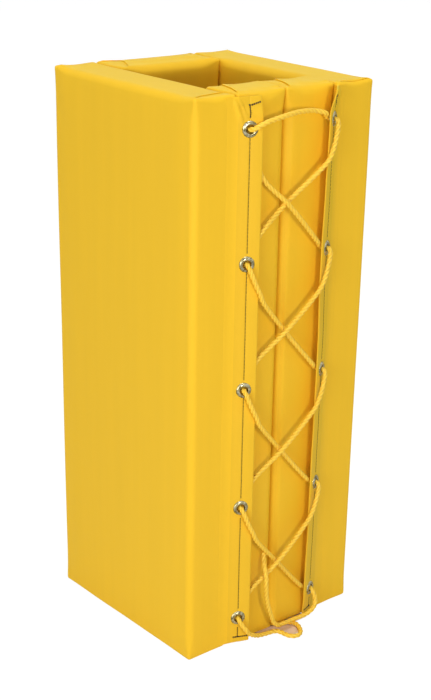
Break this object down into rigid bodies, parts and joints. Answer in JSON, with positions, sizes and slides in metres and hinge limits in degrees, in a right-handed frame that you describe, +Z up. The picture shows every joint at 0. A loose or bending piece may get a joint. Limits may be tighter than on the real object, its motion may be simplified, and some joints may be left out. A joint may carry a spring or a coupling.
{
  "type": "column protector pad",
  "caption": "Square wrap of vinyl covered foam slabs round an open column passage, laced up the front with rope through grommets.",
  "frame": {"origin": "on the floor, at the middle of the box round the pads, flaps and grommets", "axes": "+Z up the column, -Y out of the laced front, +X to the right of someone facing the front"},
  "size_m": [0.3556, 0.4161, 0.9144],
  "materials": {
    "yellow_vinyl": "smooth satin vinyl coated fabric",
    "foam": "open cell foam",
    "nickel_plate": "nickel plated brass",
    "yellow_rope": "three strand twisted rope"
  },
  "bodies": {
    "root": {"back_pad_cover": "yellow_vinyl", "back_pad_foam_core": "foam", "front_left_pad_cover": "yellow_vinyl", "front_left_pad_foam_core": "foam", "front_right_pad_cover": "yellow_vinyl", "front_right_pad_foam_core": "foam", "lacing_rope": "yellow_rope", "left_back_hinge_web": "yellow_vinyl", "left_front_hinge_web": "yellow_vinyl", "left_grommet_1": "nickel_plate", "left_grommet_1_washer": "nickel_plate", "left_grommet_2": "nickel_plate", "left_grommet_2_washer": "nickel_plate", "left_grommet_3": "nickel_plate", "left_grommet_3_washer": "nickel_plate", "left_grommet_4": "nickel_plate", "left_grommet_4_washer": "nickel_plate", "left_grommet_5": "nickel_plate", "left_grommet_5_washer": "nickel_plate", "left_lacing_flap": "yellow_vinyl", "left_pad_cover": "yellow_vinyl", "left_pad_foam_core": "foam", "right_back_hinge_web": "yellow_vinyl", "right_front_hinge_web": "yellow_vinyl", "right_grommet_1": "nickel_plate", "right_grommet_1_washer": "nickel_plate", "right_grommet_2": "nickel_plate", "right_grommet_2_washer": "nickel_plate", "right_grommet_3": "nickel_plate", "right_grommet_3_washer": "nickel_plate", "right_grommet_4": "nickel_plate", "right_grommet_4_washer": "nickel_plate", "right_grommet_5": "nickel_plate", "right_grommet_5_washer": "nickel_plate", "right_lacing_flap": "yellow_vinyl", "right_pad_cover": "yellow_vinyl", "right_pad_foam_core": "foam"}
  },
  "joints": []
}
